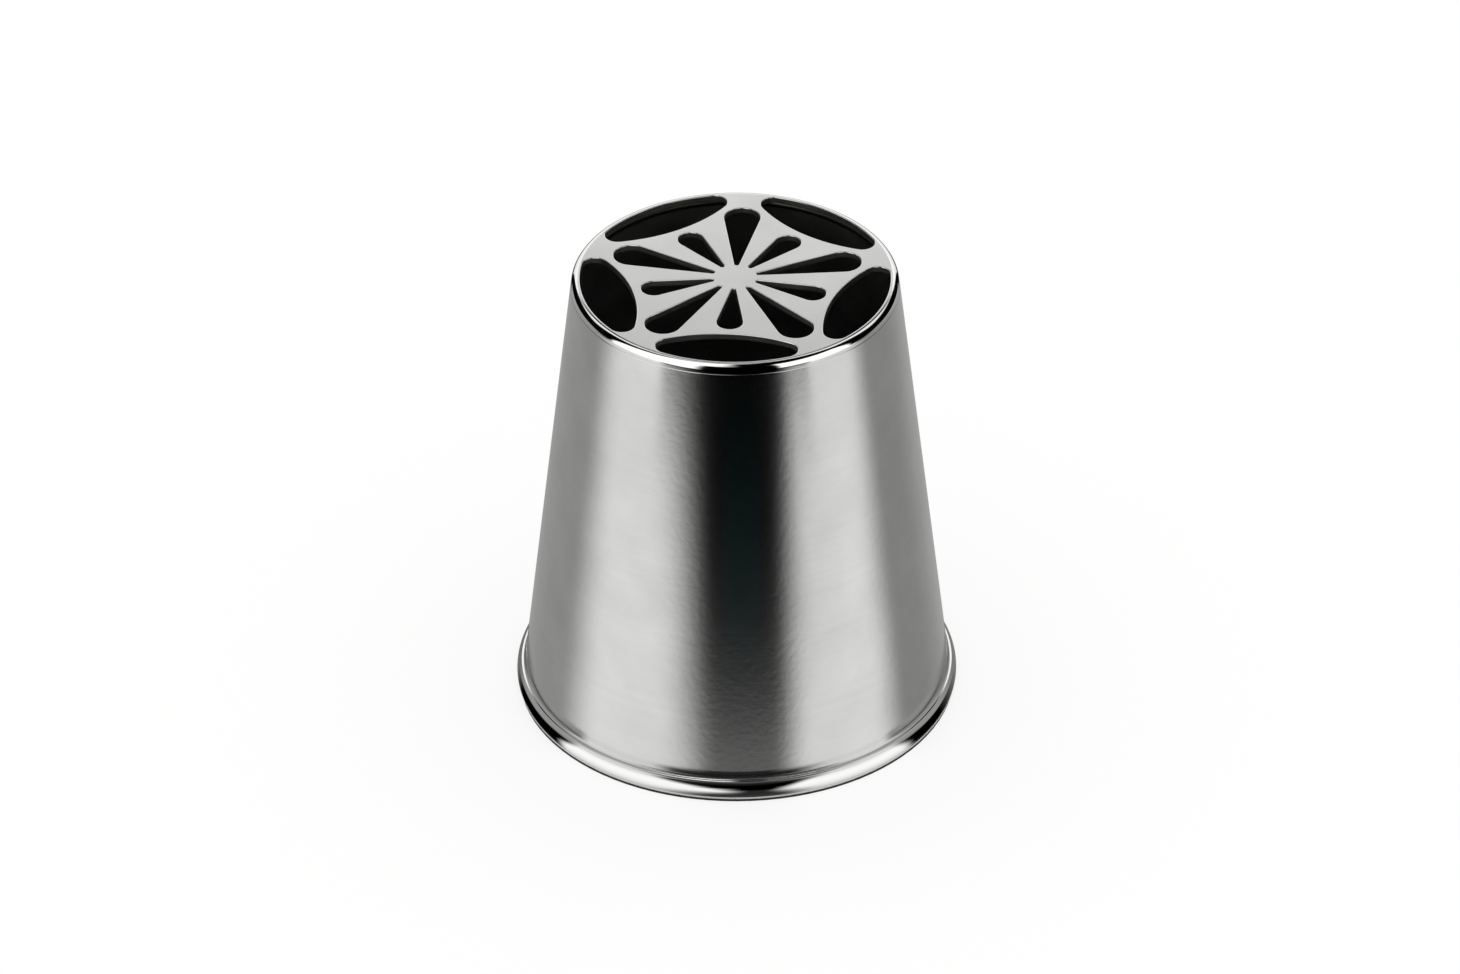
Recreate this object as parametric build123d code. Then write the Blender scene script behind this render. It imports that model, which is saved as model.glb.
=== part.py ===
from build123d import *
import os
from math import asin, atan, cos, degrees, radians, sin

# A large steel piping nozzle: a sheet cone with a hemmed base and a pierced cap across its narrow end.
# It stands on its base. The origin is the centre of the base, and +Z runs up the axis to the face.
# Points of a section are written as (distance from the axis, height), in millimetres.

# Overall sizes
base_diameter = 34.0
top_diameter = 24.54
height = 36.4
sheet = 0.45

# Hem at the base: the sheet is folded outwards and up, and its leaf bulges
hem_height = 1.75
hem_slot = 0.08
hem_bulge = 0.47
base_inner_round = 0.2

# Cap: a flat face with a rounded shoulder and a short skirt that meets the cone
shoulder_radius = 0.55
cap_skirt = 0.27
seam_break = 0.04

# Weld bead inside, over the joint of cap and cone
weld_thickness = 0.15
weld_toe = 0.04
weld_margin = 0.02
weld_gap = 0.01

# Pattern of the face: long petals, short petals and curved slots, each repeated round the axis
pattern_count = 5
hub_radius = 1.65
petal_tip_radius = 0.175
long_petal_head_radius = 1.37
long_petal_edge_margin = 2.02
short_petal_head_radius = 0.98
short_petal_bridge = 0.71
slot_edge_margin = 0.12
slot_width = 3.72
slot_bridge = 1.16
slot_corner_radius = 0.97
hole_edge_round = 0.06
cut_overrun = 1.0

# Directions of the pattern, in degrees from +X: the first long petal points along +Y
full_turn = 360.0
pitch = full_turn / pattern_count
long_petal_start = full_turn / 4
short_petal_start = long_petal_start + pitch / 2

# Cone: its outer face runs straight from the middle of the hem to the height of the face
base_radius = base_diameter / 2
top_radius = top_diameter / 2
hem_middle = hem_height / 2
wall_radius_at_hem = base_radius - sheet - hem_slot
taper = (wall_radius_at_hem - top_radius) / (height - hem_middle)
lean = atan(taper)


def outer_radius(z):
    """The radius of the cone's outer face at a height."""
    return top_radius + taper * (height - z)


def inner_radius(z):
    """The radius of the cone's inner face at a height."""
    return outer_radius(z) - sheet / cos(lean)


def up_the_wall(point, distance):
    """The point moved along the wall, towards the face of the nozzle."""
    return (point[0] - distance * sin(lean), point[1] + distance * cos(lean))


def out_of_the_wall(point, distance):
    """The point moved away from the axis, square to the wall."""
    return (point[0] + distance * cos(lean), point[1] + distance * sin(lean))


# Shoulder and seam: the seam lies square to the wall, one skirt below the end of the shoulder
shoulder_centre_z = height - shoulder_radius
face_radius = outer_radius(shoulder_centre_z) - shoulder_radius / cos(lean)
shoulder_end = out_of_the_wall((face_radius, shoulder_centre_z), shoulder_radius)
seam_outer = up_the_wall(shoulder_end, -cap_skirt)
seam_inner = out_of_the_wall(seam_outer, -sheet)
seam_groove = out_of_the_wall(seam_outer, -seam_break)


def rounded(section, corner, radius):
    """The section with the corner nearest to a point rounded."""
    vertex = section.vertices().sort_by_distance(corner)[0]
    return fillet(vertex, radius)


def turned(section):
    """The solid that a section sweeps round the axis."""
    return revolve(Plane.XZ * section, Axis.Z)


def body_cone():
    """The wall of the nozzle, with the hem round its base."""
    seat_edge = base_radius - hem_bulge
    slot_radius = hem_slot / 2
    slot_step = hem_slot / cos(lean)
    slot_bottom = sheet + slot_radius
    leaf_top = (outer_radius(hem_height) + slot_step, hem_height)
    leaf_root = (outer_radius(slot_bottom) + slot_step, slot_bottom)
    wall_root = (outer_radius(slot_bottom), slot_bottom)
    slot_floor = (wall_root[0] + slot_step / 2, slot_bottom - slot_radius)
    wall_top = up_the_wall(seam_outer, -seam_break)
    inner_foot = (inner_radius(0), 0)
    bulge = EllipticalCenterArc(
        (seat_edge, hem_middle), hem_bulge, hem_middle, start_angle=-full_turn / 4, arc_size=full_turn / 2
    )
    section = make_face([
        bulge,
        Polyline(bulge @ 1, leaf_top, leaf_root),
        ThreePointArc(leaf_root, slot_floor, wall_root),
        Polyline(wall_root, wall_top, seam_groove, seam_inner, inner_foot, bulge @ 0),
    ])
    return turned(rounded(section, inner_foot, base_inner_round))


def long_petal():
    """A long petal, drawn along +X."""
    head_distance = face_radius - long_petal_edge_margin - long_petal_head_radius
    return petal(head_distance, long_petal_head_radius)


def short_petal():
    """A short petal, drawn along +X: it stops one bridge short of the curved slot."""
    slot_inner_edge = face_radius - slot_edge_margin - slot_width
    head_distance = slot_inner_edge - short_petal_bridge - short_petal_head_radius
    return petal(head_distance, short_petal_head_radius)


def petal(head_distance, head_radius):
    """The outline round a small tip by the hub and a large head further out."""
    tip = Pos(hub_radius + petal_tip_radius, 0) * Circle(petal_tip_radius)
    head = Pos(head_distance, 0) * Circle(head_radius)
    return make_hull(tip.edges() + head.edges())


def curved_slot():
    """A slot across +X, between the arc along the edge of the face and a flatter arc inside it."""
    edge_radius = face_radius - slot_edge_margin
    half_angle = radians(pitch / 2) - asin(slot_bridge / 2 / edge_radius)
    corner_x = edge_radius * cos(half_angle)
    corner_y = edge_radius * sin(half_angle)
    outer_arc = ThreePointArc((corner_x, -corner_y), (edge_radius, 0), (corner_x, corner_y))
    inner_arc = ThreePointArc((corner_x, corner_y), (edge_radius - slot_width, 0), (corner_x, -corner_y))
    section = make_face([outer_arc, inner_arc])
    return fillet(section.vertices(), slot_corner_radius)


def cutter(outline, start):
    """The outline as deep tools through the face, repeated round the axis."""
    bottom = height - sheet - cut_overrun
    tool = Pos(0, 0, bottom) * extrude(outline, sheet + cut_overrun * 2)
    return [Rot(0, 0, start + pitch * index) * tool for index in range(pattern_count)]


def pierced_cap():
    """The face of the nozzle, with its shoulder, its skirt and the holes that shape the icing."""
    underside = height - sheet
    outer_corner = (top_radius, height)
    inner_corner = (inner_radius(underside), underside)
    skirt_bottom = up_the_wall(seam_outer, seam_break)
    section = make_face(Polyline(
        (0, height), outer_corner, skirt_bottom, seam_groove, seam_inner, inner_corner, (0, underside), close=True
    ))
    section = rounded(section, outer_corner, shoulder_radius)
    section = rounded(section, inner_corner, shoulder_radius - sheet)
    cap = turned(section)
    cap -= cutter(long_petal(), long_petal_start)
    cap -= cutter(short_petal(), short_petal_start)
    cap -= cutter(curved_slot(), short_petal_start)
    face = cap.faces().sort_by(Axis.Z)[-1]
    return fillet(face.inner_wires().edges(), hole_edge_round)


def cap_weld():
    """The low bead of weld on the inner face of the wall, half on the cap and half on the cone."""
    reach = cap_skirt - weld_margin
    root = out_of_the_wall(seam_inner, -weld_gap)
    top = up_the_wall(root, reach)
    bottom = up_the_wall(root, -reach)
    top_toe = out_of_the_wall(top, -weld_toe)
    bottom_toe = out_of_the_wall(bottom, -weld_toe)
    crest = out_of_the_wall(root, -weld_thickness)
    return turned(make_face([
        ThreePointArc(bottom_toe, crest, top_toe),
        Polyline(top_toe, top, bottom, bottom_toe),
    ]))


os.makedirs("parts", exist_ok=True)
for node in (body_cone, pierced_cap, cap_weld):
    export_step(node(), f"parts/{node.__name__}.step")

print(f"base radius {base_radius:.3f}, face radius {face_radius:.3f}, wall lean {degrees(lean):.2f} degrees")
print(f"seam at height {seam_outer[1]:.3f} outside and {seam_inner[1]:.3f} inside")
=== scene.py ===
from collections import namedtuple
from math import asin, atan, atan2, cos, hypot, pi, radians, sin, sqrt, tan, tau
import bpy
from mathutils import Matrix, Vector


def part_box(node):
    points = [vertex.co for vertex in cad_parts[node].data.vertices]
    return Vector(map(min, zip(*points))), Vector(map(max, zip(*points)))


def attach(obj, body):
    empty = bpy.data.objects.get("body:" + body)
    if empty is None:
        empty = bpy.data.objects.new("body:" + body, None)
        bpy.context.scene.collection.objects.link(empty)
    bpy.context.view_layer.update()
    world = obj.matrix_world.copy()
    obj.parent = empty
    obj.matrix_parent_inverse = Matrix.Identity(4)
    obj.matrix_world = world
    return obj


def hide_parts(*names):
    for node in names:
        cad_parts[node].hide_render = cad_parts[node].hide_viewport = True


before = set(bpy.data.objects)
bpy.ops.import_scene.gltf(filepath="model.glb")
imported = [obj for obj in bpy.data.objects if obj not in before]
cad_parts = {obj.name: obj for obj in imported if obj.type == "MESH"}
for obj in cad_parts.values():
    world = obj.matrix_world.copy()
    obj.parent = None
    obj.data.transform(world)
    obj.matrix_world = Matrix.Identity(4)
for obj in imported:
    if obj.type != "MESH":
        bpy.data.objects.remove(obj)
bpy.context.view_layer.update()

from types import SimpleNamespace

import bmesh
import bpy
from bpy.props import FloatProperty, IntProperty, PointerProperty, StringProperty
from mathutils import Matrix, Vector

bl_info = {
    "name": "Petal Piping Nozzle",
    "version": (1, 0, 0),
    "blender": (4, 5, 0),
    "location": "View3D > Sidebar > Nozzle",
    "description": "Builds a steel piping nozzle with a petal pattern, and a small studio round it",
    "category": "Add Mesh",
}

# The frame and the settings are in metres. The nozzle is modelled in millimetres, and its finished mesh is
# scaled, because the mesh operators take points nearer than a few hundredths of a unit as one.
MM = 0.001
BODY = "root"
WALL_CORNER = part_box("body_cone")[1]
CAP_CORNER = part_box("pierced_cap")[1]
BASE_RADIUS = min(WALL_CORNER[0], WALL_CORNER[1]) / MM
HEIGHT = CAP_CORNER[2] / MM

# The photograph's width in pixels, which the focal length goes with
PHOTO_WIDTH = 1460


def length(name, description, default):
    """A length that a user can set, in metres."""
    return FloatProperty(name=name, description=description, default=default, unit="LENGTH", precision=6)


def angle(name, description, default):
    """An angle that a user can set, given here in degrees."""
    return FloatProperty(name=name, description=description, default=radians(default), unit="ROTATION")


def share(name, description, default):
    """A value from 0 to 1 that a user can set."""
    return FloatProperty(name=name, description=description, default=default, min=0, max=1, subtype="FACTOR")


def colour(name, description, default):
    """A colour that a user can set, as an sRGB hex value."""
    return StringProperty(name=name, description=description, default=default)


class NozzleSizes(bpy.types.PropertyGroup):
    """Sizes of the sheet metal."""

    sheet: length("Sheet", "Thickness of the steel sheet", 0.45 * MM)
    top_radius: length("Top radius", "Radius of the wall's outer face, carried up to the face", 12.27 * MM)
    hem_height: length("Hem height", "Height of the folded hem at the base", 1.75 * MM)
    hem_slot: length("Hem slot", "Gap between the hem's leaf and the wall", 0.08 * MM)
    hem_bulge: length("Hem bulge", "How far the leaf of the hem swells outwards", 0.47 * MM)
    hem_crest: angle("Hem crest", "Where the flare of the wall meets the swell of the hem", 86)
    foot_round: length("Foot round", "Inner round at the foot of the wall", 0.2 * MM)
    shoulder_radius: length("Shoulder radius", "Outer round between the face and the wall", 0.55 * MM)
    cap_skirt: length("Cap skirt", "Straight skirt of the cap below its shoulder", 0.27 * MM)
    seam_break: length("Seam break", "Broken edge on each side of the seam", 0.02 * MM)
    weld_thickness: length("Weld thickness", "Height of the weld bead off the wall", 0.15 * MM)
    weld_toe: length("Weld toe", "Thickness of the bead at its edges", 0.04 * MM)
    weld_margin: length("Weld margin", "How far the bead stops short of the shoulder", 0.02 * MM)
    weld_gap: length("Weld gap", "Hairline between the bead and the wall", 0.01 * MM)


class FacePattern(bpy.types.PropertyGroup):
    """The holes of the face."""

    count: IntProperty(name="Count", description="How often the pattern repeats round the axis", default=5)
    hub_radius: length("Hub radius", "Solid middle of the face", 1.65 * MM)
    tip_radius: length("Petal tip radius", "Radius of every petal at the hub", 0.175 * MM)
    long_head_radius: length("Long petal head", "Radius of a long petal's outer end", 1.37 * MM)
    long_edge_margin: length(
        "Long petal margin", "Metal from a long petal to the edge of the face", 2.02 * MM
    )
    short_head_radius: length("Short petal head", "Radius of a short petal's outer end", 0.98 * MM)
    short_bridge: length("Short petal bridge", "Metal from a short petal to the curved slot", 0.71 * MM)
    slot_edge_margin: length("Slot margin", "Metal from a curved slot to the edge of the face", 0.12 * MM)
    slot_width: length("Slot width", "Width of a curved slot at its middle", 3.72 * MM)
    slot_bridge: length("Slot bridge", "Metal between the sharp corners of two slots", 1.16 * MM)
    slot_corner_radius: length("Slot corner radius", "Round of a slot's corners", 0.97 * MM)
    edge_round: length("Edge round", "Round on the upper edge of every hole", 0.06 * MM)


class SteelFinish(bpy.types.PropertyGroup):
    """Colours and gloss of the steel."""

    wall_colour: colour("Wall colour", "Lathe-polished wall", "#DADAD8")
    wall_shade: colour("Wall shade", "The wall where it is buffed less", "#CECECC")
    wall_roughness: share("Wall roughness", "Roughness of the wall", 0.17)
    wall_stretch: share("Wall stretch", "How far polishing marks stretch a reflection up the wall", 0.5)
    mirror_colour: colour("Mirror colour", "Polished shoulder and hem", "#DEDEDC")
    mirror_roughness: share("Mirror roughness", "Roughness of the polished shoulder and hem", 0.07)
    face_colour: colour("Face colour", "Ground face", "#D8D8D6")
    face_roughness: share("Face roughness", "Roughness of the face", 0.22)
    # Its grey is darker than the steel outside as painted shade, which keeps the inside and the holes dark.
    inside_colour: colour("Inside colour", "Drawn steel inside", "#858583")
    inside_roughness: share("Inside roughness", "Roughness inside", 0.5)
    weld_colour: colour("Weld colour", "Weld metal", "#5A5854")
    tint_colour: colour("Heat tint", "Brown tint that the heat leaves on the weld", "#524E47")
    weld_roughness: share("Weld roughness", "Roughness of the weld bead", 0.35)


class StudioSettings(bpy.types.PropertyGroup):
    """Camera, floor and the cards that the steel reflects."""

    azimuth: angle("Azimuth", "Turn of the camera round the nozzle", 3.873)
    elevation: angle("Elevation", "Height of the camera over the nozzle, as an angle", 33.968)
    roll: angle("Roll", "Turn of the camera about its own axis", -0.264)
    distance: length("Distance", "From the camera to the point that it looks at", 0.6006)
    focal_pixels: FloatProperty(
        name="Focal length", description="In pixels of the photograph", default=7870.9
    )
    aim_right: length("Aim right", "The point that the camera looks at, right of the axis", -0.46 * MM)
    aim_height: length("Aim height", "Height of the point that the camera looks at", 17.402 * MM)
    floor_colour: colour("Floor colour", "Pale floor", "#FAFAF9")
    # This dark grey is painted shade for the floor inside the hem.
    shaded_colour: colour("Shaded floor", "Floor inside the hem, in the nozzle's own shade", "#505050")
    floor_shine: share("Floor glow", "Share of plain white in what the camera sees of the floor", 0.78)
    card_distance: length("Card distance", "From the axis to the reflection cards", 400 * MM)


def in_millimetres(group):
    """The settings of a group, with its lengths in millimetres."""
    values = SimpleNamespace()
    for name in group.__annotations__:
        value = getattr(group, name)
        is_length = getattr(group.bl_rna.properties[name], "unit", "") == "LENGTH"
        setattr(values, name, value / MM if is_length else value)
    return values


# Section of the nozzle: points are (radius, height) in millimetres

class Section:
    """Places on the wall, the shoulder and the seam, worked out from the sizes."""

    def __init__(self, sizes):
        hem_middle = sizes.hem_height / 2
        wall_at_hem = BASE_RADIUS - sizes.sheet - sizes.hem_slot
        self.sizes = sizes
        self.taper = (wall_at_hem - sizes.top_radius) / (HEIGHT - hem_middle)
        self.lean = atan(self.taper)
        self.shoulder_centre_z = HEIGHT - sizes.shoulder_radius
        self.face_radius = self.outer(self.shoulder_centre_z) - sizes.shoulder_radius / cos(self.lean)
        shoulder_end = self.out((self.face_radius, self.shoulder_centre_z), sizes.shoulder_radius)
        self.seam_outer = self.up(shoulder_end, -sizes.cap_skirt)
        self.seam_inner = self.out(self.seam_outer, -sizes.sheet)
        self.seam_groove = self.out(self.seam_outer, -sizes.seam_break)

    def outer(self, z):
        """The radius of the wall's outer face at a height."""
        return self.sizes.top_radius + self.taper * (HEIGHT - z)

    def inner(self, z):
        """The radius of the wall's inner face at a height."""
        return self.outer(z) - self.sizes.sheet / cos(self.lean)

    def up(self, point, distance):
        """The point moved along the wall, towards the face of the nozzle."""
        return (point[0] - distance * sin(self.lean), point[1] + distance * cos(self.lean))

    def out(self, point, distance):
        """The point moved away from the axis, square to the wall."""
        return (point[0] + distance * cos(self.lean), point[1] + distance * sin(self.lean))


# Drawing a line of edges in a bmesh: each call goes on from a vertex and gives the new last vertex

# In millimetres: the short edge beside a bend that keeps the shading flat, and the reach of a merge
SUPPORT = 0.02
TOUCH = 0.0005

# Into how many steps each turn is cut
FULL_SPIN_STEPS = 288
HEM_STEPS = 28
FLARE_STEPS = 16
FOOT_STEPS = 8
SHOULDER_STEPS = 24
SHOULDER_INSIDE_STEPS = 8
WELD_STEPS = 10
PETAL_HEAD_STEPS = 40
PETAL_TIP_STEPS = 16
SLOT_SIDE_STEPS = 48
SLOT_CORNER_STEPS = 20
HOLE_EDGE_STEPS = 4
CARD_STEPS = 360
FLOOR_STEPS = 96


def start(bm, co):
    """A first vertex."""
    return bm.verts.new(co)


def line(bm, vert, co):
    """One straight edge."""
    new = bmesh.ops.extrude_vert_indiv(bm, verts=[vert])["verts"][0]
    new.co = co
    return new


def supported_line(bm, vert, co):
    """A straight stretch with a short edge at each end, which keeps its shading flat between them."""
    begin = vert.co.copy()
    way = (Vector(co) - begin).normalized() * SUPPORT
    vert = line(bm, vert, begin + way)
    vert = line(bm, vert, Vector(co) - way)
    return line(bm, vert, co)


def arc(bm, vert, centre, sweep, steps, axis):
    """An arc about a centre."""
    spun = bmesh.ops.spin(bm, geom=[vert], cent=centre, axis=axis, angle=sweep, steps=steps)
    return next(item for item in spun["geom_last"] if isinstance(item, bmesh.types.BMVert))


# In a section drawn over X and Z, a positive sweep turns from +X to +Z
SECTION_AXIS = (0, -1, 0)


def in_section(point):
    """A (radius, height) point as a place in the section's plane."""
    return Vector((point[0], 0, point[1]))


def turn_full(bm):
    """Spins the line that is drawn once round the axis, and merges the start with the end."""
    drawn = [item for item in bm.verts[:] + bm.edges[:] if item.is_wire]
    bmesh.ops.spin(
        bm, geom=drawn, cent=(0, 0, 0), axis=(0, 0, 1), angle=tau, steps=FULL_SPIN_STEPS, use_merge=True
    )


def repeat_round(bm, count):
    """Copies all there is round the axis, so that it is there a number of times."""
    everything = bm.verts[:] + bm.edges[:] + bm.faces[:]
    turn = tau * (count - 1) / count
    bmesh.ops.spin(
        bm, geom=everything, cent=(0, 0, 0), axis=(0, 0, 1), angle=turn, steps=count - 1, use_duplicate=True
    )


def close_up(bm):
    """Merges doubles and turns every face outwards."""
    bmesh.ops.remove_doubles(bm, verts=bm.verts[:], dist=TOUCH)
    bmesh.ops.recalc_face_normals(bm, faces=bm.faces[:])


# The finishes of a piece, in order: its outer face, its polished rounds, and its inside
OUTER, POLISHED, INSIDE = range(3)


def make_piece(name, bm, finishes, node):
    """The finished mesh as an object at the origin, which stands for its CAD node."""
    for face in bm.faces:
        face.smooth = True
    bmesh.ops.scale(bm, verts=bm.verts[:], vec=[MM] * 3)
    mesh = bpy.data.meshes.new(name)
    bm.to_mesh(mesh)
    bm.free()
    for finish in finishes:
        mesh.materials.append(finish)
    piece = bpy.data.objects.new(name, mesh)
    bpy.context.collection.objects.link(piece)
    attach(piece, BODY)
    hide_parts(node)
    return piece


# Materials

def linear(hex_colour):
    """An sRGB hex colour as linear red, green, blue and alpha."""
    channels = [int(hex_colour[place:place + 2], 16) / 255 for place in (1, 3, 5)]
    return [c / 12.92 if c <= 0.04045 else ((c + 0.055) / 1.055) ** 2.4 for c in channels] + [1.0]


def add(tree, kind, sockets=(), **options):
    """Adds a node, sets its options, and fills its sockets with values or with links from other nodes."""
    node = tree.nodes.new(kind)
    for option, value in options.items():
        setattr(node, option, value)
    for socket, value in dict(sockets).items():
        if isinstance(value, bpy.types.NodeSocket):
            tree.links.new(value, node.inputs[socket])
        else:
            node.inputs[socket].default_value = value
    return node


def new_material(name):
    """An empty node material and its tree."""
    material = bpy.data.materials.new(name)
    material.use_nodes = True
    material.node_tree.nodes.clear()
    return material, material.node_tree


def steel(name, hex_colour, roughness):
    """A bare metal. The caller's nodes vary its colour or its roughness over the surface."""
    material, tree = new_material(name)
    where = add(tree, "ShaderNodeTexCoord").outputs["Object"]
    shader = add(tree, "ShaderNodeBsdfPrincipled", {
        "Base Color": linear(hex_colour), "Metallic": 1.0, "Roughness": roughness,
    })
    add(tree, "ShaderNodeOutputMaterial", {"Surface": shader.outputs["BSDF"]})
    return material, tree, where, shader


# Most of a noise lies near its middle, so patches are spread by this much to use the whole span
PATCH_SPREAD = 1.25


def patches(tree, where, size, low, high):
    """Soft patches of a real size that run about between two values, and never level out at either."""
    noise = add(tree, "ShaderNodeTexNoise", {"Vector": where, "Scale": 1 / size, "Detail": 2.0})
    middle = (low + high) / 2
    reach = (high - low) * PATCH_SPREAD
    spread = add(tree, "ShaderNodeMapRange", {
        "Value": noise.outputs["Fac"], "To Min": middle - reach, "To Max": middle + reach,
    })
    return spread.outputs["Result"]


def uneven_gloss(tree, where, shader, size, roughness, smoother, rougher):
    """Roughness that is a little lower and higher in patches of a real size."""
    spread = patches(tree, where, size, roughness - smoother, roughness + rougher)
    tree.links.new(spread, shader.inputs["Roughness"])


# Real sizes of the marks that polishing leaves. Lathe rings lie some hundredths of a millimetre apart, too
# fine to show, so they are drawn ten times as coarse.
BUFFING_CLOUD = 4 * MM
LATHE_RING = 0.5 * MM
RING_SHARE = 0.3
PEEL_WIDTH = 0.5 * MM
PEEL_DEPTH = 0.005 * MM


def polished_wall(finish):
    """Stainless sheet polished on a lathe: fine rings round the axis stretch each reflection up the wall."""
    material, tree, where, shader = steel(
        "lathe_polished_stainless", finish.wall_colour, finish.wall_roughness
    )
    shader.inputs["Anisotropic"].default_value = finish.wall_stretch
    upwards = add(tree, "ShaderNodeCombineXYZ", {"X": 0.0, "Y": 0.0, "Z": 1.0})
    tree.links.new(upwards.outputs["Vector"], shader.inputs["Tangent"])
    # Buffing leaves faint clouds some millimetres wide, and the lathe leaves faint rings
    clouds = patches(tree, where, BUFFING_CLOUD, 0.0, 1.0)
    height = add(tree, "ShaderNodeSeparateXYZ", {"Vector": where}).outputs["Z"]
    rings = add(tree, "ShaderNodeTexNoise", {
        "W": height, "Scale": 1 / LATHE_RING, "Detail": 3.0,
    }, noise_dimensions="1D").outputs["Fac"]
    worn = add(tree, "ShaderNodeMix", {"Factor": RING_SHARE, "A": clouds, "B": rings})
    shade = add(tree, "ShaderNodeMix", {
        "Factor": worn.outputs["Result"], "A": linear(finish.wall_shade), "B": linear(finish.wall_colour),
    }, data_type="RGBA")
    tree.links.new(shade.outputs["Result"], shader.inputs["Base Color"])
    # The buffed skin ripples like very shallow orange peel, which softens the edges of each reflection
    peel = add(tree, "ShaderNodeTexNoise", {"Vector": where, "Scale": 1 / PEEL_WIDTH, "Detail": 2.0})
    bump = add(tree, "ShaderNodeBump", {
        "Height": peel.outputs["Fac"], "Strength": 1.0, "Distance": PEEL_DEPTH,
    })
    tree.links.new(bump.outputs["Normal"], shader.inputs["Normal"])
    return material


def mirror_steel(finish):
    """Buffed stainless: nearly a mirror, so it gives crisp black and white, a little duller in patches."""
    material, tree, where, shader = steel(
        "buffed_stainless", finish.mirror_colour, finish.mirror_roughness
    )
    uneven_gloss(tree, where, shader, 2 * MM, finish.mirror_roughness, 0.02, 0.03)
    return material


def ground_face(finish):
    """Ground stainless: its grit is too fine to show, so it gives an even soft sheen in wide patches."""
    material, tree, where, shader = steel("ground_stainless", finish.face_colour, finish.face_roughness)
    uneven_gloss(tree, where, shader, 4 * MM, finish.face_roughness, 0.02, 0.03)
    return material


def inside_steel(finish):
    """Drawn stainless, never polished: a dull grey, darkened as painted shade, that keeps the holes dark."""
    material, tree, where, shader = steel("drawn_stainless", finish.inside_colour, finish.inside_roughness)
    uneven_gloss(tree, where, shader, 3 * MM, finish.inside_roughness, 0.06, 0.08)
    return material


def weld_steel(finish):
    """Weld metal, left as welded: dark grey with a faint brown heat tint."""
    material, tree, where, shader = steel("tig_weld_stainless", finish.weld_colour, finish.weld_roughness)
    tint = patches(tree, where, 1.5 * MM, 0.0, 1.0)
    mix = add(tree, "ShaderNodeMix", {
        "Factor": tint, "A": linear(finish.weld_colour), "B": linear(finish.tint_colour),
    }, data_type="RGBA")
    tree.links.new(mix.outputs["Result"], shader.inputs["Base Color"])
    return material


# Pieces of the nozzle

class NOZZLE_OT_body_cone(bpy.types.Operator):
    """Turn the conical wall with its hemmed base"""

    bl_idname = "nozzle.body_cone"
    bl_label = "Conical wall"

    def execute(self, context):
        sizes = in_millimetres(context.scene.nozzle_sizes)
        finish = context.scene.nozzle_finish
        section = Section(sizes)
        bm = bmesh.new()
        self.draw_section(bm, sizes, section)
        turn_full(bm)
        close_up(bm)
        for face in bm.faces:
            face.material_index = self.finish_of(face, sizes, section)
        finishes = [polished_wall(finish), mirror_steel(finish), inside_steel(finish)]
        make_piece("conical_wall", bm, finishes, "body_cone")
        return {"FINISHED"}

    def draw_section(self, bm, sizes, section):
        """The closed section of the sheet, from the seat round the hem, up outside and down inside."""
        seat_edge = BASE_RADIUS - sizes.hem_bulge
        hem_middle = sizes.hem_height / 2
        foot_corner = pi / 2 + section.lean
        foot_reach = sizes.foot_round / tan(foot_corner / 2)
        foot_low = (section.inner(0) + foot_reach, 0)
        foot_high = section.up((section.inner(0), 0), foot_reach)

        first = start(bm, in_section(foot_low))
        vert = supported_line(bm, first, in_section((seat_edge, 0)))
        bulge_centre = in_section((seat_edge, hem_middle))
        before = set(bm.verts)
        vert = arc(bm, vert, bulge_centre, pi / 2 + sizes.hem_crest, HEM_STEPS, SECTION_AXIS)
        bulge = [new for new in bm.verts if new not in before]
        # The half circle is squeezed to the flatter swell of the hem
        squeeze = (sizes.hem_bulge / hem_middle, 1, 1)
        bmesh.ops.scale(bm, verts=bulge, vec=squeeze, space=Matrix.Translation(-bulge_centre))
        # The fold is closed, and a small flare leads from the crest of the hem into the wall
        crest = atan(sizes.hem_bulge / hem_middle * tan(sizes.hem_crest))
        turn = crest - section.lean
        off_the_wall = (vert.co.x - section.outer(vert.co.z)) * cos(section.lean)
        flare_radius = off_the_wall / (1 - cos(turn))
        flare_centre = vert.co + flare_radius * in_section((cos(crest), sin(crest)))
        vert = arc(bm, vert, flare_centre, -turn, FLARE_STEPS, SECTION_AXIS)
        vert = supported_line(bm, vert, in_section(section.up(section.seam_outer, -sizes.seam_break)))
        vert = line(bm, vert, in_section(section.seam_groove))
        vert = supported_line(bm, vert, in_section(section.seam_inner))
        vert = supported_line(bm, vert, in_section(foot_high))
        foot_centre = in_section((foot_low[0], sizes.foot_round))
        vert = arc(bm, vert, foot_centre, pi - foot_corner, FOOT_STEPS, SECTION_AXIS)
        bm.edges.new((vert, first))

    def finish_of(self, face, sizes, section):
        """The hem and the foot are polished, and the wall has its own finish outside."""
        centre = face.calc_center_median()
        radius = hypot(centre.x, centre.y)
        if radius > section.outer(centre.z) + sizes.hem_slot / 2 or centre.z < sizes.sheet / 2:
            return POLISHED
        if radius < section.outer(centre.z) - sizes.sheet / 2:
            return INSIDE
        return OUTER


# How far up a face of the cap looks: nearly straight up on the flat, and at least a little on a hole's edge
FLAT = 0.999
TILTED = 0.05


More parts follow.
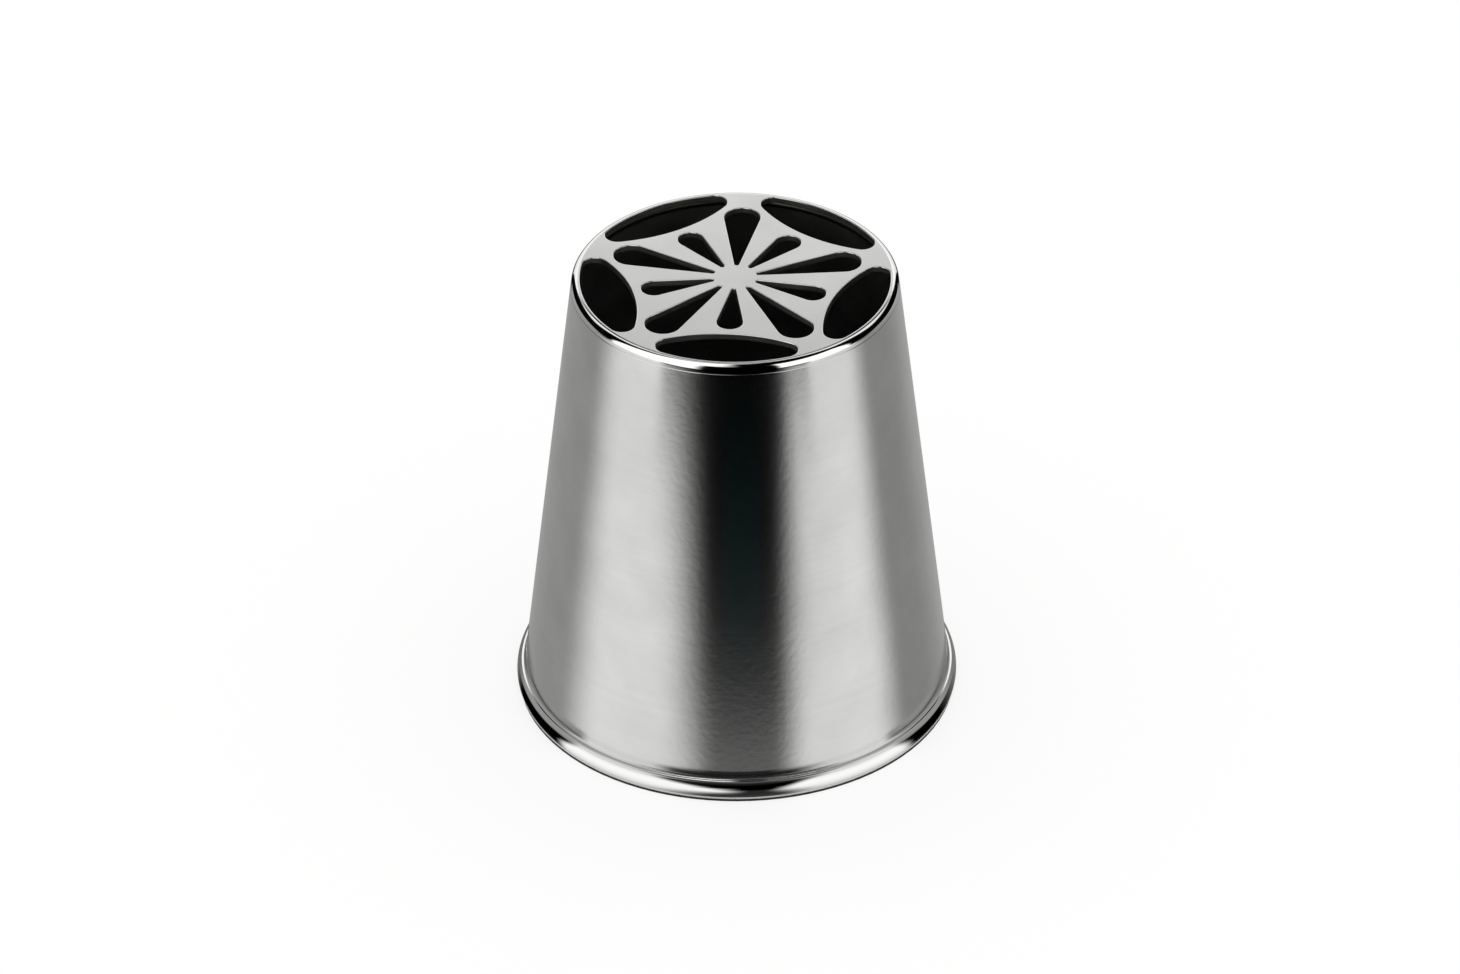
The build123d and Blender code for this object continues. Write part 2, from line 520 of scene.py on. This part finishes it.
class NOZZLE_OT_pierced_cap(bpy.types.Operator):
    """Build the cap: its pierced face, its shoulder and its skirt"""

    bl_idname = "nozzle.pierced_cap"
    bl_label = "Pierced cap"

    def execute(self, context):
        sizes = in_millimetres(context.scene.nozzle_sizes)
        pattern = in_millimetres(context.scene.nozzle_pattern)
        finish = context.scene.nozzle_finish
        section = Section(sizes)
        top = HEIGHT
        underside = HEIGHT - sizes.sheet
        bm = bmesh.new()
        for outline, direction in self.outlines(pattern, section):
            self.pierce(bm, outline, direction, pattern.edge_round, top, underside)
        repeat_round(bm, pattern.count)
        self.draw_section(bm, sizes, section)
        turn_full(bm)
        self.fill(bm, top, section.face_radius - SUPPORT)
        self.fill(bm, underside, section.face_radius)
        close_up(bm)
        for face in bm.faces:
            face.material_index = self.finish_of(face, section)
        finishes = [ground_face(finish), mirror_steel(finish), inside_steel(finish)]
        make_piece("pierced_cap", bm, finishes, "pierced_cap")
        return {"FINISHED"}

    def draw_section(self, bm, sizes, section):
        """The open section of shoulder and skirt, from the edge of the face round to the underside."""
        centre = in_section((section.face_radius, section.shoulder_centre_z))
        vert = start(bm, (section.face_radius - SUPPORT, 0, HEIGHT))
        vert = line(bm, vert, (section.face_radius, 0, HEIGHT))
        vert = arc(bm, vert, centre, section.lean - pi / 2, SHOULDER_STEPS, SECTION_AXIS)
        vert = supported_line(bm, vert, in_section(section.up(section.seam_outer, sizes.seam_break)))
        vert = line(bm, vert, in_section(section.seam_groove))
        vert = supported_line(bm, vert, in_section(section.seam_inner))
        inner_radius = sizes.shoulder_radius - sizes.sheet
        inner_end = section.out((section.face_radius, section.shoulder_centre_z), inner_radius)
        vert = supported_line(bm, vert, in_section(inner_end))
        arc(bm, vert, centre, pi / 2 - section.lean, SHOULDER_INSIDE_STEPS, SECTION_AXIS)

    def outlines(self, pattern, section):
        """Each outline as a list of arcs, with the direction of its first copy. Drawn along +X."""
        quarter = pi / 2
        half_pitch = pi / pattern.count
        slot_edge = section.face_radius - pattern.slot_edge_margin
        slot_inner = slot_edge - pattern.slot_width
        long_head = section.face_radius - pattern.long_edge_margin - pattern.long_head_radius
        short_head = slot_inner - pattern.short_bridge - pattern.short_head_radius
        yield self.petal(pattern, long_head, pattern.long_head_radius), quarter
        yield self.petal(pattern, short_head, pattern.short_head_radius), quarter + half_pitch
        yield self.curved_slot(pattern, slot_edge, slot_inner), quarter + half_pitch

    def petal(self, pattern, head_distance, head_radius):
        """A large arc round the head and a small one round the tip.

        An arc is its centre, radius, start, sweep and steps.
        """
        tip_distance = pattern.hub_radius + pattern.tip_radius
        slant = asin((head_radius - pattern.tip_radius) / (head_distance - tip_distance))
        side = pi / 2 + slant
        return [
            ((head_distance, 0), head_radius, -side, 2 * side, PETAL_HEAD_STEPS),
            ((tip_distance, 0), pattern.tip_radius, side, tau - 2 * side, PETAL_TIP_STEPS),
        ]

    def curved_slot(self, pattern, edge, inner):
        """An arc along the edge of the face, a flatter arc inside it, and a round at each corner."""
        corner = pattern.slot_corner_radius
        half_angle = pi / pattern.count - asin(pattern.slot_bridge / 2 / edge)
        depth = edge * cos(half_angle) - inner
        half_width = edge * sin(half_angle)
        inner_radius = (half_width ** 2 + depth ** 2) / (2 * depth)
        inner_centre = inner + inner_radius
        to_axis = edge - corner
        to_inner = inner_radius - corner
        corner_x = (to_axis ** 2 - to_inner ** 2 + inner_centre ** 2) / (2 * inner_centre)
        corner_y = sqrt(to_axis ** 2 - corner_x ** 2)
        outer_turn = atan2(corner_y, corner_x)
        inner_turn = atan2(corner_y, corner_x - inner_centre)
        return [
            ((0, 0), edge, -outer_turn, 2 * outer_turn, SLOT_SIDE_STEPS),
            ((corner_x, corner_y), corner, outer_turn, inner_turn - outer_turn, SLOT_CORNER_STEPS),
            ((inner_centre, 0), inner_radius, inner_turn, tau - 2 * inner_turn, SLOT_SIDE_STEPS),
            ((corner_x, -corner_y), corner, -inner_turn, inner_turn - outer_turn, SLOT_CORNER_STEPS),
        ]

    def ring(self, bm, outline, turn, grow, z):
        """One closed outline, grown outwards by a distance, at a height. Gives its edges."""
        before = set(bm.edges)
        first = vert = None
        for (x, y), radius, begin, sweep, steps in outline:
            radius += grow
            co = Vector((x + radius * cos(begin), y + radius * sin(begin), z))
            if vert is None:
                first = vert = start(bm, co)
            elif (vert.co - co).length > TOUCH:
                vert = line(bm, vert, co)
            vert = arc(bm, vert, (x, y, z), sweep, steps, (0, 0, 1))
        if (vert.co - first.co).length > TOUCH:
            bm.edges.new((vert, first))
        else:
            bmesh.ops.pointmerge(bm, verts=[first, vert], merge_co=first.co)
        edges = [edge for edge in bm.edges if edge not in before]
        verts = {vert for edge in edges for vert in edge.verts}
        bmesh.ops.rotate(bm, verts=list(verts), cent=(0, 0, 0), matrix=Matrix.Rotation(turn, 3, "Z"))
        return edges

    def pierce(self, bm, outline, turn, edge_round, top, underside):
        """The wall of one hole, with a flat collar and a round at its upper edge."""
        levels = [(edge_round + SUPPORT, top)]
        for step in range(HOLE_EDGE_STEPS + 1):
            bend = pi / 2 * step / HOLE_EDGE_STEPS
            levels.append((edge_round * (1 - sin(bend)), top - edge_round * (1 - cos(bend))))
        levels.append((0, top - edge_round - SUPPORT))
        levels.append((0, underside + SUPPORT))
        levels.append((0, underside))
        rings = [self.ring(bm, outline, turn, grow, z) for grow, z in levels]
        for upper, lower in zip(rings, rings[1:]):
            bmesh.ops.bridge_loops(bm, edges=upper + lower)

    def fill(self, bm, z, radius):
        """The flat sheet at a height, inside a radius and round the holes."""
        rim = [edge for edge in bm.edges if edge.is_boundary and all(
            abs(vert.co.z - z) < TOUCH and hypot(vert.co.x, vert.co.y) < radius + TOUCH
            for vert in edge.verts
        )]
        if not rim:
            raise RuntimeError(f"No open edges at height {z} mm, so the face can't be filled")
        bmesh.ops.triangle_fill(bm, use_beauty=True, use_dissolve=False, edges=rim, normal=(0, 0, 1))

    def finish_of(self, face, section):
        """The face is ground, the shoulder, skirt and hole edges are polished, and hole walls are dull, in
        the inside finish darkened as painted shade.
        """
        centre = face.calc_center_median()
        on_shoulder = hypot(centre.x, centre.y) > section.face_radius and centre.z > section.seam_outer[1]
        if face.normal.z > FLAT:
            return OUTER
        if face.normal.z > TILTED or on_shoulder and face.normal.z > 0:
            return POLISHED
        return INSIDE


class NOZZLE_OT_cap_weld(bpy.types.Operator):
    """Run the weld bead inside, over the seam"""

    bl_idname = "nozzle.cap_weld"
    bl_label = "Weld bead"

    def execute(self, context):
        sizes = in_millimetres(context.scene.nozzle_sizes)
        finish = context.scene.nozzle_finish
        section = Section(sizes)
        reach = sizes.cap_skirt - sizes.weld_margin
        root = section.out(section.seam_inner, -sizes.weld_gap)
        top = section.up(root, reach)
        bottom = section.up(root, -reach)
        rise = sizes.weld_thickness - sizes.weld_toe
        radius = (reach ** 2 + rise ** 2) / (2 * rise)
        half_sweep = asin(reach / radius)
        centre = section.out(root, radius - sizes.weld_thickness)
        bm = bmesh.new()
        first = start(bm, in_section(section.out(bottom, -sizes.weld_toe)))
        vert = arc(bm, first, in_section(centre), -2 * half_sweep, WELD_STEPS, SECTION_AXIS)
        vert = line(bm, vert, in_section(top))
        vert = line(bm, vert, in_section(bottom))
        bm.edges.new((vert, first))
        turn_full(bm)
        close_up(bm)
        make_piece("weld_bead", bm, [weld_steel(finish)], "cap_weld")
        return {"FINISHED"}


# Studio

def painted_reflection_glow(name, hex_colour):
    """Painted reflection for a card: each point glows by the value that its card gives it."""
    material, tree = new_material(name)
    glow = add(tree, "ShaderNodeAttribute", attribute_name="glow")
    light = add(tree, "ShaderNodeEmission", {"Color": linear(hex_colour), "Strength": glow.outputs["Fac"]})
    add(tree, "ShaderNodeOutputMaterial", {"Surface": light.outputs["Emission"]})
    return material


def stage_object(name, bm, material):
    """A mesh of the studio, which isn't part of the nozzle."""
    mesh = bpy.data.meshes.new(name)
    bm.to_mesh(mesh)
    bm.free()
    mesh.materials.append(material)
    item = bpy.data.objects.new(name, mesh)
    bpy.context.collection.objects.link(item)
    return item


# One row of a card: its radius and height in millimetres, its left and right end, and its glows.
# A glow is (direction, strength). A direction is in degrees right of the camera, and the strength runs
# smoothly from each direction to the next.
BLACK = ((0, 0),)
Row = namedtuple("Row", "radius height left right glows", defaults=(-180, 180, BLACK))


def card(name, material, rows):
    """A card bent round the axis, from its first row to its last, which only the steel sees: its glows are
    painted reflections.
    """
    front = -pi / 2 + bpy.context.scene.nozzle_studio.azimuth
    bm = bmesh.new()
    bmesh.ops.create_grid(bm, x_segments=CARD_STEPS, y_segments=len(rows) - 1, size=0.5)
    glow = bm.verts.layers.float.new("glow")
    for vert in bm.verts:
        row = rows[round((vert.co.y + 0.5) * (len(rows) - 1))]
        direction = row.left + (vert.co.x + 0.5) * (row.right - row.left)
        turn = front + radians(direction)
        vert.co = Vector((row.radius * cos(turn), row.radius * sin(turn), row.height)) * MM
        vert[glow] = glow_at(direction, row.glows)
    item = stage_object(name, bm, material)
    item.visible_camera = False
    item.visible_diffuse = False
    item.visible_transmission = False
    item.visible_shadow = False
    return item


def glow_at(direction, glows):
    """The glow of a row at a direction."""
    before, value = glows[0]
    for after, next_value in glows[1:]:
        if direction < after:
            way = max(direction - before, 0) / (after - before)
            return value + (next_value - value) * way * way * (3 - 2 * way)
        before, value = after, next_value
    return value


# How strongly the plain white world shows to the camera and the steel, and how strongly it lights
WORLD_SEEN = 1.0
WORLD_LIGHT = 1.08

# The camera sees from a part of its distance to many times it
CLIP_NEAR = 10
CLIP_FAR = 20

# The floor, in metres, and the discs on it, in millimetres: one past the hem and one inside it, painted dark
# as shade
FLOOR_HALF_WIDTH = 4
HEM_DISC_MARGIN = 0.6
HEM_DISC_HEIGHT = 0.005
SHADED_DISC_SHARE = 0.99
SHADED_DISC_HEIGHT = 0.02

# Places of the cards, in millimetres from the axis and in degrees to either side of the camera
NEAR_AXIS = 1
NEAR = 100
ROOM_MARGIN = 20
AT_THE_HEM = 17.1
AT_THE_SHOULDER = 20
BEHIND_OPENING = 140
SHOULDER_ENDS = 120

# Dim sides of the painted reflection round the wall, and its top row, where it meets the painted reflection
# over the hem
WALL_LEFT = ((-180, 0.5), (-150, 0.38), (-103, 0.36), (-72, 1))
WALL_RIGHT = ((72, 1), (95, 0.31), (112, 0.31), (150, 0.42), (180, 0.5))
WALL_TOP_HEIGHT = -0.6
WALL_TOP = (
    (-180, 0.5), (-150, 0.42), (-103, 0.36), (-80, 0.86), (-54, 0.86), (-20, 0),
    (25, 0), (38, 0.78), (74, 0.78), (95, 0.34), (150, 0.42), (180, 0.5),
)

# Rows of the painted reflection higher up, beside, over and far above the hem
BESIDE_HEM = (
    (-140, 0.5), (-106, 0.4), (-90, 0.1), (-82, 1.1), (-50, 1.2), (-43, 0),
    (43, 0), (50, 1.2), (76, 1.2), (86, 0.1), (106, 0.4), (140, 0.5),
)
OVER_HEM = (
    (-140, 0.38), (-100, 0.38), (-84, 0.8), (-47, 0.8), (-32, 0.04),
    (28, 0.04), (41, 0.2), (58, 0.9), (76, 0.9), (100, 0.38),
)
ABOVE_HEM = (
    (-140, 0.5), (-100, 0.5), (-84, 0.8), (-72, 0.8), (-54, 0.1),
    (50, 0.1), (66, 0.2), (82, 0.8), (100, 0.5),
)
OVERHEAD_HEIGHT = 150

# Rows of the painted reflection round the shoulder: bright beside a black middle, and thin bright lines at
# the back rim
RIM_LEFT = ((-97, 1.1), (-90, 0))
RIM_RIGHT = ((84, 0), (91, 1.1))
BESIDE_SHOULDER = ((-66, 0), (-63, 1.5), (-21, 1.5), (-15, 0), (19, 0), (22, 1.5), (57, 1.5), (60, 0))
ABOVE_SHOULDER = ((-66, 0), (-63, 1.5), (-15, 1.5), (4, 0))


class NOZZLE_OT_studio(bpy.types.Operator):
    """Set up the floor, the light, the reflection cards and the camera"""

    bl_idname = "nozzle.studio"
    bl_label = "Studio"

    def execute(self, context):
        studio = context.scene.nozzle_studio
        self.floor(studio)
        self.world()
        self.cards(studio)
        self.camera(studio)
        return {"FINISHED"}

    def floor(self, studio):
        """A pale floor that the camera sees nearly white. The steel sees only two discs of it."""
        material, tree = new_material("pale_floor")
        paint = add(tree, "ShaderNodeBsdfDiffuse", {"Color": linear(studio.floor_colour)})
        white = add(tree, "ShaderNodeEmission", {"Color": (1, 1, 1, 1), "Strength": 1.0})
        path = add(tree, "ShaderNodeLightPath")
        amount = add(tree, "ShaderNodeMath", {
            0: path.outputs["Is Camera Ray"], 1: studio.floor_shine,
        }, operation="MULTIPLY")
        mix = add(tree, "ShaderNodeMixShader", {
            0: amount.outputs["Value"], 1: paint.outputs["BSDF"], 2: white.outputs["Emission"],
        })
        add(tree, "ShaderNodeOutputMaterial", {"Surface": mix.outputs["Shader"]})
        bm = bmesh.new()
        bmesh.ops.create_grid(bm, x_segments=1, y_segments=1, size=FLOOR_HALF_WIDTH)
        floor = stage_object("floor", bm, material)
        floor.visible_glossy = False
        hem_disc = BASE_RADIUS + HEM_DISC_MARGIN
        self.disc("floor_at_the_hem", hem_disc, FULL_SPIN_STEPS, HEM_DISC_HEIGHT, material)

        # Inside the hem the floor is painted dark grey as shade: it shows through the holes, and the hem's
        # underside reflects it as a dark contact line.
        material, tree = new_material("shaded_floor")
        paint = add(tree, "ShaderNodeBsdfDiffuse", {"Color": linear(studio.shaded_colour)})
        add(tree, "ShaderNodeOutputMaterial", {"Surface": paint.outputs["BSDF"]})
        shaded_disc = BASE_RADIUS * SHADED_DISC_SHARE
        self.disc("floor_under_nozzle", shaded_disc, FLOOR_STEPS, SHADED_DISC_HEIGHT, material)

    def disc(self, name, radius, steps, height, material):
        """A disc of the floor, round the axis."""
        bm = bmesh.new()
        bmesh.ops.create_circle(bm, cap_ends=True, segments=steps, radius=radius * MM)
        bmesh.ops.translate(bm, verts=bm.verts[:], vec=(0, 0, height * MM))
        stage_object(name, bm, material)

    def world(self):
        """White for what the camera and the steel see, and a softer white as light."""
        world = bpy.data.worlds.new("studio_white")
        bpy.context.scene.world = world
        world.use_nodes = True
        tree = world.node_tree
        tree.nodes.clear()
        path = add(tree, "ShaderNodeLightPath")
        seen = add(tree, "ShaderNodeMath", {
            0: path.outputs["Is Camera Ray"], 1: path.outputs["Is Glossy Ray"],
        }, operation="MAXIMUM")
        seen = add(tree, "ShaderNodeMath", {
            0: seen.outputs["Value"], 1: path.outputs["Is Transmission Ray"],
        }, operation="MAXIMUM")
        strength = add(tree, "ShaderNodeMapRange", {
            "Value": seen.outputs["Value"], "To Min": WORLD_LIGHT, "To Max": WORLD_SEEN,
        })
        glow = add(tree, "ShaderNodeBackground", {
            "Color": (1, 1, 1, 1), "Strength": strength.outputs["Result"],
        })
        add(tree, "ShaderNodeOutputWorld", {"Surface": glow.outputs["Background"]})

    def cards(self, studio):
        """What the steel reflects: a black room with painted reflections of light in it, which nothing else
        sees.
        """
        cloth = painted_reflection_glow("white_cloth", "#FFFFFF")
        teal = painted_reflection_glow("teal_cloth", "#00B0B8")
        far = studio.card_distance / MM
        room = far + ROOM_MARGIN
        card("room", cloth, [Row(NEAR_AXIS, -far), Row(room, -far), Row(room, room), Row(NEAR_AXIS, room)])
        self.light_round_the_wall(cloth)
        self.light_over_the_hem(cloth)
        self.light_round_the_shoulder(cloth)
        # Painted reflection high up behind: white that the flat face reflects to the camera
        card("light_behind", cloth, [
            Row(far, height, 146, 214, ((146, 0), (150, glow), (210, glow), (214, 0)))
            for height, glow in ((0, 0.9), (260, 1.3), (292, 1.2), (322, 0.35), (350, 0))
        ])
        # A faint teal painted reflection in the black middle of the wall
        card("screen_in_front", teal, [
            Row(NEAR - 1, height, -10, 15, ((-10, 0), (-4, glow), (10, glow), (15, 0)))
            for height, glow in ((-24, 0), (-18, 0.02), (-8, 0.02), (-3, 0))
        ])
        self.surround_of_the_hem(cloth)

    def light_round_the_wall(self, cloth):
        """Painted reflection on the wall: white to the left and right of a black middle, which widens and
        then fades towards the foot.
        """
        rows = (
            (-140, ((-6, 1), (2, 0), (17, 0), (25, 1))),
            (-85, ((-6, 1), (2, 0), (17, 0), (25, 1))),
            (-55, ((-18, 1), (-8, 0), (17, 0), (27, 1))),
            (-42, ((-24, 1), (-12, 0.1), (17, 0.1), (31, 1))),
            (-36, ((-39, 1), (-9, 0.28), (17, 0.28), (37, 1))),
            (-31, ((-42, 1), (-7.5, 0.22), (17, 0.22), (38, 0.95))),
            (-26.6, ((-37, 1), (-12, 0.03), (19.5, 0.03), (36.5, 0.95))),
            (-18, ((-42, 1), (-13, 0), (19, 0), (44, 0.93))),
            (-9.5, ((-48, 1), (-15, 0), (21, 0), (42, 0.91))),
        )
        card("light_round_the_wall", cloth, [
            Row(NEAR, height, glows=WALL_LEFT + middle + WALL_RIGHT) for height, middle in rows
        ] + [Row(NEAR, WALL_TOP_HEIGHT, glows=WALL_TOP)])

    def light_over_the_hem(self, cloth):
        """Painted reflection that the crest of the hem sees. It is open behind, where the face looks past
        it.
        """
        rows = (
            (WALL_TOP_HEIGHT, WALL_TOP), (8, BESIDE_HEM), (30, BESIDE_HEM),
            (40, OVER_HEM), (70, OVER_HEM), (OVERHEAD_HEIGHT, ABOVE_HEM),
        )
        card("light_over_the_hem", cloth, [
            Row(NEAR, height, -BEHIND_OPENING, BEHIND_OPENING, glows) for height, glows in rows
        ])
        card("light_overhead", cloth, [
            Row(NEAR, OVERHEAD_HEIGHT, glows=ABOVE_HEM),
            Row(40, OVERHEAD_HEIGHT + 2, glows=ABOVE_HEM),
            Row(NEAR_AXIS, OVERHEAD_HEIGHT + 5, glows=((0, 0.9),)),
        ])

    def light_round_the_shoulder(self, cloth):
        """Painted reflections on the shoulder: white wedges on its left and right, between black crescents
        and a black middle.
        """
        rows = (
            (AT_THE_SHOULDER, 34.8, BESIDE_SHOULDER),
            (AT_THE_SHOULDER, 44.5, BESIDE_SHOULDER),
            (AT_THE_SHOULDER, 47, RIM_LEFT + BESIDE_SHOULDER + RIM_RIGHT),
            (AT_THE_SHOULDER, 49.5, RIM_LEFT + ABOVE_SHOULDER + RIM_RIGHT),
            (18, 60, RIM_LEFT + ABOVE_SHOULDER + RIM_RIGHT),
            (5, 64, RIM_LEFT + ABOVE_SHOULDER + RIM_RIGHT),
        )
        card("light_round_the_shoulder", cloth, [
            Row(radius, height, -SHOULDER_ENDS, SHOULDER_ENDS, glows) for radius, height, glows in rows
        ])

    def surround_of_the_hem(self, cloth):
        """Painted reflections close round the hem: white, between a black lens in front and a black crescent
        on either side.

        A row gives its height, where the white ends on the left, the four corners of the lens, and where
        the white ends on the right. Then come the glows at the side, at the tip of the crescent, in the lens
        and in the white.
        """
        rows = (
            (0.03, -52, (-26, -6, 10, 24), 50, 0.12, 0.12, 0.06, 0.6),
            (0.35, -50, (-28, -7, 11, 22), 50, 0.05, 0.05, 0.06, 0.8),
            (0.6, -50, (-24, -5, 10, 24), 49, 0, 0, 0.03, 1),
            (0.8, -50, (-20, 3, 8, 20), 48, 0, 0, 0.03, 1.15),
            (0.97, -50, (-6, 3, 7, 16), 48, 0, 0, 0.03, 1.25),
            (1.13, -49, (-9, 1, 9, 16), 47, 0, 0, 0, 1.3),
            (1.3, -47, (-15, -6, 12, 18), 46, 0, 0, 0, 1.3),
            (1.42, -46, (-21, -9, 14, 20), 45, 0, 0, 0, 1.2),
            (1.52, -45, (-24, -12, 14, 23), 44, 0.36, 0.2, 0, 1.1),
            (1.65, -45, (-25, -17, 15, 27), 44, 0.38, 0.38, 0.01, 0.9),
            (1.85, -45, (-26, -17, 15, 29), 44, 0.38, 0.38, 0.02, 0.9),
            (2.05, -45, (-24, -6, 8, 21), 44, 0.38, 0.38, 0.04, 0.95),
        )
        card("surround_of_the_hem", cloth, [
            Row(AT_THE_HEM, height, glows=(
                (-90, 0.2), (-77, side), (left - 16, side), (left - 10, tip), (left - 5, tip), (left, white),
                (lens[0], white), (lens[1], dark), (lens[2], dark), (lens[3], white),
                (right, white), (right + 5, tip), (right + 10, tip), (right + 16, side), (66, side),
                (90, 0.25),
            ))
            for height, left, lens, right, side, tip, dark, white in rows
        ])

    def camera(self, studio):
        """The camera at the photograph's angle and distance."""
        turn = studio.azimuth
        rise = studio.elevation
        back = Vector((cos(rise) * sin(turn), -cos(rise) * cos(turn), sin(rise)))
        right = Vector((cos(turn), sin(turn), 0))
        up = back.cross(right)
        aim = right * studio.aim_right + Vector((0, 0, studio.aim_height))
        rolled_right = right * cos(studio.roll) + up * sin(studio.roll)
        rolled_up = up * cos(studio.roll) - right * sin(studio.roll)
        data = bpy.data.cameras.new("camera")
        data.sensor_fit = "HORIZONTAL"
        data.lens = studio.focal_pixels * data.sensor_width / PHOTO_WIDTH
        data.clip_start = studio.distance / CLIP_NEAR
        data.clip_end = studio.distance * CLIP_FAR
        camera = bpy.data.objects.new("camera", data)
        axes = Matrix((rolled_right, rolled_up, back)).transposed().to_4x4()
        camera.matrix_world = Matrix.Translation(aim + back * studio.distance) @ axes
        bpy.context.collection.objects.link(camera)
        bpy.context.scene.camera = camera
        bpy.context.scene.view_settings.view_transform = "Standard"


class NOZZLE_PT_build(bpy.types.Panel):
    """Buttons that build the nozzle and its studio."""

    bl_idname = "NOZZLE_PT_build"
    bl_label = "Piping nozzle"
    bl_space_type = "VIEW_3D"
    bl_region_type = "UI"
    bl_category = "Nozzle"

    def draw(self, context):
        for operator in OPERATORS:
            self.layout.operator(operator.bl_idname)


OPERATORS = (NOZZLE_OT_body_cone, NOZZLE_OT_pierced_cap, NOZZLE_OT_cap_weld, NOZZLE_OT_studio)
GROUPS = {
    "nozzle_sizes": NozzleSizes,
    "nozzle_pattern": FacePattern,
    "nozzle_finish": SteelFinish,
    "nozzle_studio": StudioSettings,
}


def register():
    """Registers the settings, the operators and the panel."""
    for name, group in GROUPS.items():
        bpy.utils.register_class(group)
        setattr(bpy.types.Scene, name, PointerProperty(type=group))
    for item in OPERATORS + (NOZZLE_PT_build,):
        bpy.utils.register_class(item)


def unregister():
    """Takes everything back in the opposite order."""
    for item in reversed(OPERATORS + (NOZZLE_PT_build,)):
        bpy.utils.unregister_class(item)
    for name, group in reversed(GROUPS.items()):
        delattr(bpy.types.Scene, name)
        bpy.utils.unregister_class(group)


def main():
    """Builds everything in order."""
    register()
    bpy.ops.nozzle.body_cone()
    bpy.ops.nozzle.pierced_cap()
    bpy.ops.nozzle.cap_weld()
    bpy.ops.nozzle.studio()


if __name__ == "__main__":
    main()
